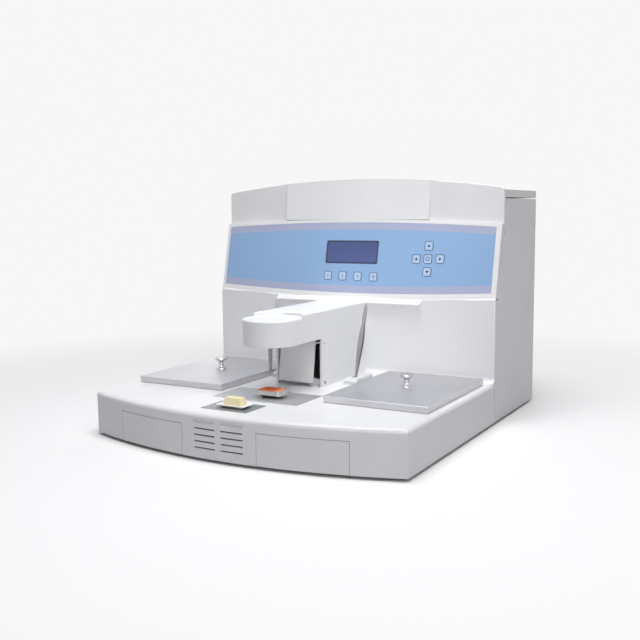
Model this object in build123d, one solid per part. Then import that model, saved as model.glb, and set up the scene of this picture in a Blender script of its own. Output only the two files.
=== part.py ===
from build123d import *
import os
from math import atan2, cos, radians, sin, sqrt, tan

# Tissue embedding station. Millimetres, +X to the right, +Y to the back, +Z up.
# Sizes below are in a machine frame: x = 0 at the middle, y = 0 at the base's front corners and
# z = 0 at the underside of the base. Every piece is moved at the end so that the origin is at the
# middle of the whole object's underside.

os.makedirs("parts", exist_ok=True)

# Overall form
width = 580.0
front_bow = 51.0  # how far the front bows out at its middle
cabinet_back = 600.0
deck_top = 70.0
cabinet_top = 406.6
foot_height = 5.0
foot_radius = 16.0
foot_inset = 50.0

# Sheet and shell thicknesses, clearances
wall = 3.0
pan_sheet = 2.0
lid_sheet = 2.0
steel_sheet = 1.2
gap = 0.3  # between bodies that move apart
pin_clearance = 0.05  # radial, in hinges and shafts
edge_round = 8.0  # top edges of the deck
corner_round = 4.0  # upright front corners
console_round = 2.5  # upright ends of the console

# Console
backsplash = 366.0  # y of the wall behind the deck
panel_foot_y = 369.0
panel_foot_z = 218.6  # lower edge of the tilted panel at its ends
panel_head_y = 397.0
panel_head_z = 347.0  # upper edge of the tilted panel at its ends
panel_head_rise = 8.0  # the upper edge arches up by this much at the middle
panel_foot_drop = 8.6
panel_depth = 12.0
panel_border = 4.0
brow_front = 406.0
brow_thickness = 8.0
brow_end_top = 409.6
brow_rise = 21.0
brow_corner = 8.0
brow_edge = 1.2
brow_lip = 4.0  # the rolled lip at the brow's foot stands this much above the panel
centre_half = 152.0  # half width of the raised centre section
ledge_front = 356.5
ledge_top = 203.0
ledge_fade = 167.0  # height where the centre ledge runs out into the wall
cove_radius = 10.0

# Overlay, display and keys, in x and z on the panel
overlay_margin_left = 7.0
overlay_margin_right = 10.0
overlay_end_top = 341.0
overlay_mid_top = 349.6
overlay_end_foot = 227.0
overlay_mid_foot = 218.3
overlay_thickness = 0.5
overlay_recess = 0.6
display_left = -54.5
display_right = 56.5
display_foot = 272.4
display_top = 315.8
key_width = 16.3
key_height = 17.0
key_round = 3.5
key_depth = 4.0
key_proud = 0.1
key_travel = 0.4
key_places = {
    "key_menu_1": (-45.8, 249.2),
    "key_menu_2": (-14.2, 249.2),
    "key_menu_3": (17.9, 249.2),
    "key_menu_4": (50.6, 249.2),
    "key_up": (157.0, 307.1),
    "key_left": (134.1, 283.2),
    "key_enter": (156.8, 283.6),
    "key_right": (180.4, 284.0),
    "key_down": (157.3, 260.7),
}

# Rear cabinet
lid_gap_foot = 390.4
lid_gap_top = 392.2
lid_edge_round = 6.0
rear_inset = 3.0
hinge_radius = 3.0
hinge_pin = 1.5
hinge_margin = 90.0  # from the side of the cabinet to the middle of a hinge
hinge_length = 40.0
tank_deck_z = 384.0
tank_half = 150.0
tank_length = 140.0
tank_margin = 28.0  # from the tank's mouth to the back of the cabinet
tank_foot = 262.0
tank_flange = 8.0

# Wells and their lids
lid_inner = 98.5
lid_margin = 11.5  # from a lid's outer edge to the side of the deck
lid_front = 96.0
lid_back = 345.0
lid_top = 81.5
lid_taper = 8.0
well_inset = 7.0  # from the lid's edge to the well's mouth
well_depth = 38.0
knob_height = 21.0
knob_head = 11.5
knob_neck = 4.2
knob_base = 9.5

# Plates in the deck
hot_left, hot_right, hot_front, hot_back = -88.0, 74.0, 57.0, 139.0
cold_left, cold_right, cold_front, cold_back = -52.0, 32.5, -21.0, 35.0
plate_proud = 0.8
hot_thickness = 5.0
cold_thickness = 9.0

# Drawers and vents in the bowed front
drawer_inner = 68.0
drawer_margin = 79.0  # from a drawer's outer edge to the side of the deck
drawer_gap = 0.8
drawer_height = 50.0
drawer_back = 92.0
drawer_wall = 2.0
vent_spans = ((-44.0, -4.0), (6.0, 46.0))
vent_top = 56.0
vent_pitch = 10.0
vent_rows = 5
vent_height = 2.3
blind_depth = 1.2

# Column and arm
column_x = -8.0
arm_half = 47.0
arm_wall = 3.5
column_wall = 4.5  # the column's side walls beside the paddle
column_front = 202.0
column_mouth = 15.0  # depth of the bay behind the paddle
nose_y = 115.0
arm_foot = 154.0
head_top = 197.5
arm_top = 203.0
arm_top_round = 3.0
arm_foot_round = 2.0
head_disc = 50.0  # radius of the step round the head
disc_y = 118.0
cover_round = 2.6
nozzle_y = 112.0
nozzle_tip = 111.0
pipe_radius = 4.0
pipe_bore = 2.5
pipe_z = 178.0
valve_front = 265.0
valve_back = 305.0
paddle_half = 34.4
paddle_x = -11.9
paddle_pin_y = 210.0
paddle_pin_z = 146.0
paddle_foot_z = 77.0
paddle_lean = 14.0
paddle_thickness = 3.0
paddle_pin = 2.0
foot_bar_top = 82.0
foot_bar_depth = 8.0
grille_y = 219.0

# Forceps and holders
holder_half = 13.0
holder_length = 63.0
holder_front = 244.0
holder_height = 11.0
holder_x = 70.0
holder_x_left = -77.0
slot_width = 7.4
slot_length = 16.0
slot_floor = 2.0
forceps_length = 142.0
forceps_lean = 18.5
forceps_spread = 2.2
forceps_sheet = 1.3
tip_y = 264.0

# Derived places
half = width / 2
overlay_left = -half + overlay_margin_left
overlay_right = half - overlay_margin_right
lid_outer = half - lid_margin
drawer_outer = half - drawer_margin
knob_x = (lid_inner + lid_outer) / 2
knob_y = (lid_front + lid_back) / 2
hinge_place = half - hinge_margin
tank_back = cabinet_back - tank_margin
tank_front = tank_back - tank_length
rear_outer = cabinet_back - rear_inset
bow_radius = (half**2 + front_bow**2) / (2 * front_bow)
bow_centre = bow_radius - front_bow
hinge_y = cabinet_back
hinge_z = (lid_gap_foot + lid_gap_top) / 2
object_back = hinge_y + hinge_radius
origin_y = (object_back - front_bow) / 2
panel_tilt = atan2(panel_head_y - panel_foot_y, panel_head_z - panel_foot_z)
panel_mid_y = (panel_foot_y + panel_head_y) / 2
panel_mid_z = (panel_foot_z + panel_head_z) / 2
panel_plane = Plane(
    origin=(0, panel_mid_y, panel_mid_z),
    x_dir=(1, 0, 0),
    z_dir=(0, -cos(panel_tilt), sin(panel_tilt)),
)
brow_back = brow_front + brow_thickness
column_left = column_x - arm_half
column_right = column_x + arm_half
step_y = disc_y + sqrt(head_disc**2 - arm_half**2)


def block(x0, x1, y0, y1, z0, z1):
    return Pos((x0 + x1) / 2, (y0 + y1) / 2, (z0 + z1) / 2) * Box(x1 - x0, y1 - y0, z1 - z0)


def rod(start, direction, length, radius):
    """A cylinder from start along direction."""
    return Plane(origin=start, z_dir=direction) * extrude(Circle(radius), length)


def up_panel(z):
    """Distance along the tilted panel from its middle, for a height z."""
    return (z - panel_mid_z) / cos(panel_tilt)


def bowed_form(inset, z0, z1, rounded=True):
    """The base's outer form, drawn in by inset, from the bowed front to the backsplash."""
    side = half - inset
    radius = bow_radius - inset
    corner_y = bow_centre - sqrt(radius**2 - side**2)
    arc = ThreePointArc((-side, corner_y), (0, inset - front_bow), (side, corner_y))
    ends = Polyline((side, corner_y), (side, backsplash), (-side, backsplash), (-side, corner_y))
    form = Pos(0, 0, z0) * extrude(make_face(arc + ends), z1 - z0)
    if not rounded:
        return form
    top = [e for e in form.edges().filter_by_position(Axis.Z, z1, z1)
           if e.center().Y < backsplash - 1]
    upright = [e for e in form.edges().filter_by(Axis.Z) if e.center().Y < backsplash - 1]
    plan = fillet(upright, corner_round - inset)
    return fillet(top, edge_round - inset) & plan


def slot_prism(x0, x1, z, height, y0, y1):
    """A flat slot with round ends that runs along X, cut along Y."""
    length = x1 - x0
    shape = Plane.XZ * Pos((x0 + x1) / 2, z) * SlotOverall(length, height)
    return Pos(0, y1, 0) * extrude(shape, y1 - y0)


def mirrored(shape):
    return mirror(shape, Plane.YZ)


def bowed_edge(x0, x1, ends, mid):
    """A shallow arc, or a straight edge where it has no rise."""
    if abs(mid - ends) < 0.001:
        return Line((x0, ends), (x1, ends))
    return ThreePointArc((x0, ends), ((x0 + x1) / 2, mid), (x1, ends))


def arched_face(x0, x1, low_ends, low_mid, high_ends, high_mid):
    """A face between two shallow arcs, in the XY of its own plane."""
    low = bowed_edge(x0, x1, low_ends, low_mid)
    high = bowed_edge(x0, x1, high_ends, high_mid)
    sides = Line((x0, low_ends), (x0, high_ends)) + Line((x1, low_ends), (x1, high_ends))
    return make_face(low + high + sides)


def revolve_profile(points, axis_x, axis_y):
    """Turn a list of (radius, height) points about an upright axis."""
    outline = make_face(Plane.XZ * Polyline(*points, close=True))
    return Pos(axis_x, axis_y, 0) * revolve(outline, Axis.Z)


pieces = {}


# Base pan and feet
def make_base_pan():
    inset = wall + gap
    floor = bowed_form(inset, 0, pan_sheet, rounded=False)
    rear = block(-half + inset, half - inset, backsplash, cabinet_back - 2 * wall, 0, pan_sheet)
    flange_height = 22.0
    side = block(half - inset - pan_sheet, half - inset, corner_round + wall,
                 cabinet_back - 2 * wall, pan_sheet, flange_height)
    back = block(-half + inset, half - inset, cabinet_back - 2 * wall - pan_sheet,
                 cabinet_back - 2 * wall, pan_sheet, flange_height)
    pan = floor + rear + side + mirrored(side) + back
    louvre_count, louvre_pitch, louvre_width, louvre_half = 8, 14.0, 3.5, 35.0
    louvre_start = cabinet_back - 160
    for index in range(louvre_count):
        y = louvre_start + index * louvre_pitch
        pan -= block(-louvre_half, louvre_half, y, y + louvre_width, -1, pan_sheet + 1)
    return pan


def make_feet():
    places = [(sx * (half - foot_inset), y) for sx in (-1, 1)
              for y in (foot_inset, cabinet_back - foot_inset)]
    foot = Cone(foot_radius - 1.5, foot_radius, foot_height)
    return [Pos(x, y, -foot_height / 2) * foot for x, y in places]


pieces["base_pan"] = make_base_pan()
pieces["feet"] = make_feet()


# Deck shell: front, deck and sides in one moulding
def make_deck_shell():
    shell = bowed_form(0, 0, deck_top) - bowed_form(wall, -1, deck_top - wall)
    shell -= block(-half + wall, half - wall, backsplash - 2, backsplash + 1, -1, deck_top - wall)
    mouth = block(lid_inner + well_inset, lid_outer - well_inset, lid_front + well_inset,
                  lid_back - well_inset, deck_top - 10, deck_top + 10)
    shell -= mouth + mirrored(mouth)
    shell -= block(hot_left - gap, hot_right + gap, hot_front - gap, hot_back + gap,
                   deck_top - 10, deck_top + 10)
    shell -= block(cold_left - gap, cold_right + gap, cold_front - gap, cold_back + gap,
                   deck_top - 10, deck_top + 10)
    passage_half, passage_front, passage_back = 30.0, backsplash - 76, backsplash - 26
    shell -= block(column_x - passage_half, column_x + passage_half, passage_front, passage_back,
                   deck_top - 10, deck_top + 10)
    aperture = block(drawer_inner, drawer_outer, -front_bow - 5, 30, -5, drawer_height)
    shell -= aperture + mirrored(aperture)
    skin = bowed_form(0, 5, deck_top - 5, rounded=False)
    skin -= bowed_form(blind_depth, 4, deck_top, rounded=False)
    for x0, x1 in vent_spans:
        for row in range(vent_rows):
            z = vent_top - row * vent_pitch
            cutter = slot_prism(x0, x1, z, vent_height, -front_bow - 5, -front_bow + 20)
            shell -= (cutter & skin) if row == 0 else cutter
    return shell


pieces["deck_shell"] = make_deck_shell()


def make_vent_filter():
    outer = bowed_form(wall + gap, pan_sheet, deck_top - wall - 8, rounded=False)
    inner = bowed_form(wall + gap + 2.5, pan_sheet - 1, deck_top, rounded=False)
    return (outer - inner) & block(-50, 52, -front_bow, -30, 0, deck_top)


pieces["vent_filter"] = make_vent_filter()


# Console fascia
def panel_solid(face, top, bottom):
    """Extrude a face drawn on the panel plane, from depth top to depth bottom behind it."""
    return panel_plane * Pos(0, 0, -bottom) * extrude(face, bottom - top)


def key_face(place, grow):
    x, z = place
    return Pos(x, up_panel(z)) * RectangleRounded(
        key_width + 2 * grow, key_height + 2 * grow, key_round + grow)


def display_face(grow):
    high, low = up_panel(display_top), up_panel(display_foot)
    return Pos((display_left + display_right) / 2, (high + low) / 2) * RectangleRounded(
        display_right - display_left + 2 * grow, high - low + 2 * grow, 3.0 + grow)


def overlay_face(grow):
    return arched_face(overlay_left - grow, overlay_right + grow,
                       up_panel(overlay_end_foot) - grow, up_panel(overlay_mid_foot) - grow,
                       up_panel(overlay_end_top) + grow, up_panel(overlay_mid_top) + grow)


def side_prism(points, x0, x1):
    """A prism along X from a side profile of (y, z) points."""
    face = make_face(Plane.YZ * Polyline(*points, close=True))
    return Pos(x0, 0, 0) * extrude(face, x1 - x0, dir=(1, 0, 0))


def make_console_fascia():
    low_end, low_mid = panel_foot_z, panel_foot_z - panel_foot_drop
    high_end, high_mid = panel_head_z, panel_head_z + panel_head_rise
    panel = Pos(0, 0, -panel_depth) * extrude(
        arched_face(-half, half, up_panel(low_end), up_panel(low_mid), up_panel(high_end),
                    up_panel(high_mid)), panel_depth)
    ends = [e for e in panel.edges() if abs(e.center().X) > half - 0.1
            and abs(e.center().Z) < 0.1 and abs(e.tangent_at(0.5).Y) > 0.9]
    panel = panel_plane * fillet(ends, console_round)
    panel -= panel_solid(arched_face(-half + panel_border, half - panel_border,
                                     up_panel(low_end) + panel_border,
                                     up_panel(low_mid) + panel_border,
                                     up_panel(high_end) - panel_border,
                                     up_panel(high_mid) - panel_border),
                         wall, panel_depth + 1)
    wall_face = Plane.XZ * arched_face(-half, half, deck_top - edge_round - 2,
                                       deck_top - edge_round - 2, low_end, low_mid)
    back_wall = Pos(0, backsplash + wall, 0) * extrude(wall_face, wall)
    brim = [e for e in back_wall.edges() if e.center().Z > ledge_top
            and e.center().Y < backsplash + 0.1 and abs(e.center().X) < 1]
    back_wall = chamfer(brim, wall * 0.8)
    ends = [e for e in back_wall.edges().filter_by(Axis.Z) if e.center().Y < backsplash + 0.1]
    back_wall = fillet(ends, console_round)
    brow_face = Plane.XZ * arched_face(-half, half, panel_head_z - 12, panel_head_z - 12,
                                       brow_end_top, brow_end_top + brow_rise)
    brow = Pos(0, brow_back, 0) * extrude(brow_face, brow_thickness)
    tops = [e for e in brow.edges() if abs(e.center().Z - brow_end_top) < 1
            and abs(e.center().X) > half - 1 and abs(e.tangent_at(0.5).Y) > 0.9]
    brow = fillet(tops, brow_corner)
    rim = [e for e in brow.edges() if e.center().Y < brow_front + 0.1
           and e.center().Z > panel_head_z]
    brow = fillet(rim, brow_edge)
    lip_top = panel_head_z + brow_lip
    lip_face = Plane.XZ * arched_face(-half, half, panel_head_z - 2,
                                      panel_head_z + panel_head_rise - 2, lip_top,
                                      lip_top + panel_head_rise)
    lip_depth = brow_front - panel_head_y
    lip = Pos(0, brow_front + 1, 0) * extrude(lip_face, lip_depth + 1)
    lip_edges = [e for e in lip.edges() if e.center().Y < panel_head_y + 0.1]
    lip = fillet(max(lip_edges, key=lambda edge: edge.center().Z), brow_lip - 0.4)
    crown = brow_end_top + brow_rise
    swell = side_prism([(panel_head_y + 1.7, panel_head_z + panel_head_rise), (brow_front, crown),
                        (brow_back, crown), (brow_back, panel_head_z)],
                       -centre_half, centre_half)
    swell &= Pos(0, brow_back, 0) * extrude(brow_face, 40)
    ledge = side_prism([(panel_foot_y - 1.0, panel_foot_z - panel_foot_drop + 1),
                        (ledge_front, ledge_top), (backsplash, ledge_fade),
                        (backsplash + wall, ledge_fade),
                        (backsplash + wall, panel_foot_z - panel_foot_drop + 1)],
                       -centre_half, centre_half)
    nose = [e for e in ledge.edges() if abs(e.center().Y - ledge_front) < 0.1]
    ledge = fillet(nose, 3.0)
    cove = block(-half, half, backsplash - cove_radius, backsplash,
                 deck_top - edge_round, deck_top + cove_radius)
    cove -= rod((-half - 1, backsplash - cove_radius, deck_top + cove_radius), (1, 0, 0),
                width + 2, cove_radius)
    cove -= bowed_form(0, 0, deck_top)
    cove -= block(column_left, column_right, column_front, backsplash, 0, 200)
    fascia = panel + back_wall + brow + lip + swell + ledge + cove
    fascia -= panel_solid(overlay_face(0.2), -1, overlay_recess)
    fascia -= panel_solid(display_face(gap), -1, wall + 1)
    for place in key_places.values():
        fascia -= panel_solid(key_face(place, gap), -1, wall + 1)
    fascia -= block(column_left + 7, column_right - 7, ledge_front - 5, backsplash + 10, 78, 192)
    return fascia


pieces["console_fascia"] = make_console_fascia()


def make_overlay():
    overlay = panel_solid(overlay_face(0), overlay_recess - overlay_thickness, overlay_recess)
    overlay -= panel_solid(display_face(0), -1, wall)
    for place in key_places.values():
        overlay -= panel_solid(key_face(place, gap), -1, wall)
    return overlay


pieces["control_overlay"] = make_overlay()
board_front = 5.0
pieces["display_screen"] = panel_solid(display_face(0), overlay_recess, board_front)
for key_name, key_place in key_places.items():
    pieces[key_name] = panel_solid(key_face(key_place, 0), -key_proud, key_depth)


def make_control_board():
    left, right = display_left - 20, key_places["key_right"][0] + 22
    low, high = up_panel(235), up_panel(325)
    board = panel_solid(Pos((left + right) / 2, (low + high) / 2)
                        * Rectangle(right - left, high - low), board_front, board_front + 1.6)
    for x in (left + 6, right - 6):
        for v in (low + 6, high - 6):
            board += panel_solid(Pos(x, v) * Circle(3), wall, board_front)
    for x, z in key_places.values():
        dome = key_depth + key_travel + 0.1
        board += panel_solid(Pos(x, up_panel(z)) * Circle(4), dome, board_front)
    connector = Pos(right - 30, high - 12) * Rectangle(24, 8)
    return board + panel_solid(connector, board_front + 1.6, board_front + 6)


pieces["control_board"] = make_control_board()


# Cabinet sides, rear panel and tank deck
def make_cabinet_side():
    side = block(half - wall, half, backsplash + wall, cabinet_back, 0, lid_gap_foot)
    side -= pieces["console_fascia"]
    front_of_panel = side_prism([(backsplash - 1, 215), (panel_foot_y + panel_depth, 215),
                                 (brow_back, panel_head_z), (brow_back, lid_gap_foot + 1),
                                 (backsplash - 1, lid_gap_foot + 1)], 0, half + 1)
    side -= front_of_panel
    return side.solids().sort_by(SortBy.VOLUME)[-1]


pieces["cabinet_side_right"] = make_cabinet_side()
pieces["cabinet_side_left"] = mirrored(pieces["cabinet_side_right"])

inlet_margin, inlet_z = 75.0, 52.0
inlet_x = -half + inlet_margin
inlet_width, inlet_height = 78.0, 34.0


def make_rear_panel():
    panel = block(-half + wall, half - wall, rear_outer - wall, rear_outer, 0, lid_gap_foot)
    louvre_rows, louvre_pitch, louvre_foot, louvre_height = 9, 9.0, 110.0, 3.6
    louvre_half, louvre_margin = 50.0, 160.0
    for x in (-half + louvre_margin, half - louvre_margin):
        for row in range(louvre_rows):
            z = louvre_foot + row * louvre_pitch
            panel -= slot_prism(x - louvre_half, x + louvre_half, z, louvre_height,
                                rear_outer - wall - 1, rear_outer + 1)
    panel -= block(inlet_x - inlet_width / 2, inlet_x + inlet_width / 2, rear_outer - wall - 1,
                   rear_outer + 1, inlet_z - inlet_height / 2, inlet_z + inlet_height / 2)
    return panel


pieces["rear_panel"] = make_rear_panel()


def make_tank_deck():
    deck = block(-half + wall, half - wall, brow_back, rear_outer - wall,
                 tank_deck_z, tank_deck_z + pan_sheet)
    return deck - block(-tank_half - gap, tank_half + gap, tank_front - gap, tank_back + gap,
                        tank_deck_z - 1, tank_deck_z + 5)


pieces["tank_deck"] = make_tank_deck()


def open_box(x0, x1, y0, y1, z0, z1, sheet, flange, radius):
    """A pressed pan with a flat flange round its mouth."""
    depth = z1 - z0
    centre = ((x0 + x1) / 2, (y0 + y1) / 2)
    outline = Pos(*centre) * RectangleRounded(x1 - x0, y1 - y0, radius)
    hollow = Pos(*centre) * RectangleRounded(x1 - x0 - 2 * sheet, y1 - y0 - 2 * sheet,
                                             radius - sheet)
    rim = Pos(*centre) * RectangleRounded(x1 - x0 + 2 * flange, y1 - y0 + 2 * flange, radius)
    pan = Pos(0, 0, z0) * extrude(outline, depth) + Pos(0, 0, z1) * extrude(rim, sheet)
    return pan - Pos(0, 0, z0 + sheet) * extrude(hollow, depth + 1)


tank_rim_z = tank_deck_z + pan_sheet
pieces["paraffin_tank"] = open_box(-tank_half, tank_half, tank_front, tank_back, tank_foot,
                                   tank_rim_z, steel_sheet, tank_flange, 12.0)


# Well trays, heaters
mat_inset, mat_thickness = 10.0, 3.0


def make_well_tray(sign):
    x0, x1 = sorted((sign * (lid_inner + well_inset), sign * (lid_outer - well_inset)))
    return open_box(x0 + gap, x1 - gap, lid_front + well_inset + gap, lid_back - well_inset - gap,
                    deck_top - well_depth, deck_top, 1.0, 5.0, 4.0)


pieces["well_tray_right"] = make_well_tray(1)
pieces["well_tray_left"] = make_well_tray(-1)


def make_heater_mats():
    mats = []
    for sign in (-1, 1):
        x0, x1 = sorted((sign * (lid_inner + well_inset + mat_inset),
                         sign * (lid_outer - well_inset - mat_inset)))
        mats.append(block(x0, x1, lid_front + well_inset + mat_inset,
                          lid_back - well_inset - mat_inset,
                          deck_top - well_depth - mat_thickness, deck_top - well_depth))
    hot_foot = deck_top + plate_proud - hot_thickness
    mats.append(block(hot_left + mat_inset, hot_right - mat_inset, hot_front + mat_inset,
                      hot_back - mat_inset, hot_foot - mat_thickness, hot_foot))
    tank_mat = block(-tank_half + 15, tank_half - 15, tank_front + 15, tank_back - 15,
                     tank_foot - mat_thickness, tank_foot)
    notch_half, notch_length = 12.0, 32.0
    mats.append(tank_mat - block(column_x - notch_half, column_x + notch_half, tank_front,
                                 tank_front + notch_length, tank_foot - 10, tank_foot + 10))
    return mats


pieces["heater_mats"] = make_heater_mats()


# Lids over the wells, with their knobs
def make_well_lid(sign):
    centre_x = sign * (lid_inner + lid_outer) / 2
    centre_y = (lid_front + lid_back) / 2
    size_x, size_y = lid_outer - lid_inner, lid_back - lid_front
    seat = deck_top + 1.0 + gap
    height = lid_top - seat
    turned = Plane(origin=(centre_x, centre_y, lid_top), x_dir=(1, 0, 0), z_dir=(0, 0, -1))
    outer = turned * extrude(RectangleRounded(size_x, size_y, 3.0), height, taper=lid_taper)
    outer = fillet(outer.edges().filter_by_position(Axis.Z, lid_top, lid_top), 1.0)
    inner_plane = turned * Pos(0, 0, steel_sheet)
    inner = inner_plane * extrude(
        RectangleRounded(size_x - 3 * steel_sheet, size_y - 3 * steel_sheet, 2.0),
        height, taper=lid_taper)
    return outer - inner


def make_knob(sign):
    z = lid_top
    top = z + knob_height
    profile = [(0, z), (knob_base, z), (knob_base, z + 1.4), (knob_base - 2.5, z + 3.2),
               (knob_neck + 0.6, z + 5.6), (knob_neck, z + 8), (knob_neck, z + 11.5),
               (knob_neck + 1.5, z + 14), (knob_head - 1.5, z + 17), (knob_head, z + 18.6),
               (knob_head, top - 1.2), (knob_head - 1.4, top), (knob_head - 4, top - 0.8),
               (0, top - 1.2)]
    return revolve_profile(profile, sign * knob_x, knob_y)


pieces["well_lid_right"] = make_well_lid(1)
pieces["well_lid_left"] = make_well_lid(-1)
pieces["lid_knob_right"] = make_knob(1)
pieces["lid_knob_left"] = make_knob(-1)

# Hot plate and cold plate
hot_plate = block(hot_left, hot_right, hot_front, hot_back,
                  deck_top + plate_proud - hot_thickness, deck_top + plate_proud)
pieces["hot_plate"] = fillet(hot_plate.edges().filter_by(Axis.Z), 1.0)
cold_foot = deck_top + plate_proud - cold_thickness
cold_plate = block(cold_left, cold_right, cold_front, cold_back, cold_foot,
                   deck_top + plate_proud)
pieces["cold_plate"] = fillet(cold_plate.edges().filter_by(Axis.Z), 1.0)
cold_x = (cold_left + cold_right) / 2
cold_y = (cold_front + cold_back) / 2
peltier_size, peltier_thickness = 40.0, 4.0
pieces["peltier_module"] = block(cold_x - peltier_size / 2, cold_x + peltier_size / 2,
                                 cold_y - peltier_size / 2, cold_y + peltier_size / 2,
                                 cold_foot - peltier_thickness, cold_foot)


def make_heat_sink():
    top = cold_foot - peltier_thickness
    base = 5.0
    foot = pan_sheet
    sink = block(cold_left, cold_right, cold_front, cold_back, top - base, top)
    fins, fin = 12, 1.6
    for index in range(fins):
        x = cold_left + index * (cold_right - cold_left - fin) / (fins - 1)
        sink += block(x, x + fin, cold_front, cold_back, foot + 14, top - base)
    for x in (cold_left, cold_right - 6):
        sink += block(x, x + 6, cold_front, cold_back, foot, foot + 14)
    return sink


pieces["heat_sink"] = make_heat_sink()

# Cooling fan behind the vents
fan_size, fan_depth = 60.0, 15.0
fan_x, fan_back_y = 1.0, -28.0
fan_z = pan_sheet + fan_size / 2
fan_shaft = 1.5
fan_shaft_length = 10.5


def make_fan_frame():
    frame = block(fan_x - fan_size / 2, fan_x + fan_size / 2, fan_back_y - fan_depth, fan_back_y,
                  fan_z - fan_size / 2, fan_z + fan_size / 2)
    axis_start = (fan_x, fan_back_y - fan_depth - 1, fan_z)
    frame -= rod(axis_start, (0, 1, 0), fan_depth + 2, fan_size / 2 - 2)
    motor = rod((fan_x, fan_back_y - 2.5, fan_z), (0, 1, 0), 2.5, 12)
    motor += rod((fan_x, fan_back_y - fan_shaft_length, fan_z), (0, 1, 0), fan_shaft_length,
                 fan_shaft)
    for angle in (45, 135):
        strut = Pos(fan_x, fan_back_y - 1.25, fan_z) * Rot(0, angle, 0) * Box(fan_size, 2.5, 3)
        motor += strut & (rod(axis_start, (0, 1, 0), fan_depth + 2, fan_size / 2))
    corners = fan_size / 2 - 4
    for sx in (-1, 1):
        for sz in (-1, 1):
            frame -= rod((fan_x + sx * corners, fan_back_y - fan_depth - 1, fan_z + sz * corners),
                         (0, 1, 0), fan_depth + 2, 1.8)
    return frame + motor


def make_fan_rotor():
    front = fan_back_y - 13.0
    depth = 9.5
    rotor = rod((fan_x, front, fan_z), (0, 1, 0), depth, 11)
    blades, sweep = 7, 38.0
    tip = fan_size / 2 - 3
    for index in range(blades):
        blade = Pos(0, 0, (11 + tip) / 2 - 1) * Rot(0, 0, sweep) * Box(12, 1.4, tip - 9)
        rotor += Pos(fan_x, front + depth / 2, fan_z) * Rot(0, index * 360 / blades, 0) * blade
    bore = rod((fan_x, front + 1.5, fan_z), (0, 1, 0), depth, fan_shaft + pin_clearance)
    return rotor - bore


pieces["fan_frame"] = make_fan_frame()
pieces["fan_rotor"] = make_fan_rotor()


# Drawers and their runners
def make_drawer_right():
    front = bowed_form(0, gap, drawer_height - drawer_gap, rounded=False)
    front -= bowed_form(wall, gap - 1, drawer_height, rounded=False)
    front &= block(drawer_inner + drawer_gap, drawer_outer - drawer_gap, -front_bow, 30, -1,
                   drawer_height)
    left, right = drawer_inner + 5, drawer_outer - 5
    foot, top = pan_sheet + 2.0, drawer_height - 6
    tray = block(left, right, -front_bow, drawer_back, foot, top)
    tray -= block(left + drawer_wall, right - drawer_wall, -front_bow - 1,
                  drawer_back - drawer_wall, foot + drawer_wall, top + 1)
    tray &= bowed_form(wall / 2, foot, top, rounded=False)
    return front + tray


def make_drawer_runners():
    rails = []
    for side in (drawer_inner + 2.4, drawer_outer - 4.7):
        rail = block(side, side + 2.3, -8, drawer_back, pan_sheet, pan_sheet + 12)
        rails.append(rail)
    sleeper = block(drawer_inner + 10, drawer_outer - 10, 30, 44, pan_sheet, pan_sheet + 1.7)
    rails.append(sleeper)
    return rails + [mirrored(rail) for rail in rails]


pieces["drawer_right"] = make_drawer_right()
pieces["drawer_left"] = mirrored(pieces["drawer_right"])
pieces["drawer_runners"] = make_drawer_runners()


# Column and arm
def arm_outline(inset, back):
    """Plan of the arm: a round nose in front and straight sides to the back."""
    radius = arm_half - inset
    nose = ThreePointArc((column_x - radius, nose_y), (column_x, nose_y - radius),
                         (column_x + radius, nose_y))
    sides = Polyline((column_x + radius, nose_y), (column_x + radius, back),
                     (column_x - radius, back), (column_x - radius, nose_y))
    return make_face(nose + sides)


def make_arm_housing():
    arm = Pos(0, 0, arm_foot) * extrude(arm_outline(0, backsplash), head_top - arm_foot)
    rims = [e for e in arm.edges() if e.center().Y < nose_y and e.geom_type == GeomType.CIRCLE]
    arm = fillet([e for e in rims if e.center().Z > head_top - 1], arm_top_round)
    rims = [e for e in arm.edges() if e.center().Y < nose_y and e.center().Z < arm_foot + 0.1
            and e.geom_type == GeomType.CIRCLE]
    arm = fillet(rims, arm_foot_round)
    arm += block(column_left, column_right, step_y, backsplash, head_top - 5, head_top)
    column = block(column_left, column_right, column_front, backsplash, deck_top, arm_foot + 5)
    housing = arm + column
    inner_back = backsplash + 1
    housing -= Pos(0, 0, arm_foot + wall) * extrude(
        arm_outline(arm_wall, inner_back), head_top - arm_foot - 2 * wall)
    mouth_back = column_front + column_mouth
    housing -= block(column_left + arm_wall, column_right - arm_wall, mouth_back - 1,
                     inner_back, deck_top - 1, head_top - wall)
    housing -= block(column_left + column_wall, column_right - column_wall, column_front - 1,
                     mouth_back, deck_top - 1, arm_foot)
    housing += block(column_left + arm_wall, column_right - arm_wall, mouth_back - 1,
                     grille_y + foot_bar_depth, deck_top, foot_bar_top)
    housing += block(column_left + column_wall, column_right - column_wall,
                     grille_y - foot_bar_depth, mouth_back, deck_top, foot_bar_top)
    housing -= rod((column_x, nozzle_y, arm_foot - 1), (0, 0, 1), wall + 2, 6.1)
    housing -= rod((column_left - 1, paddle_pin_y, paddle_pin_z), (1, 0, 0), 2 * arm_half + 2,
                   paddle_pin + pin_clearance)
    return housing - pieces["console_fascia"]


pieces["arm_housing"] = make_arm_housing()


def make_arm_top_cover():
    cover = block(column_left, column_right, step_y - 10, backsplash - 0.1, head_top, arm_top)
    cover -= rod((column_x, disc_y, head_top - 1), (0, 0, 1), 10, head_disc)
    cover -= pieces["console_fascia"]
    brims = [e for e in cover.edges().filter_by_position(Axis.Z, arm_top, arm_top)
             if e.center().Y < backsplash - 20]
    return fillet(brims, cover_round)


pieces["arm_top_cover"] = make_arm_top_cover()


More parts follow.
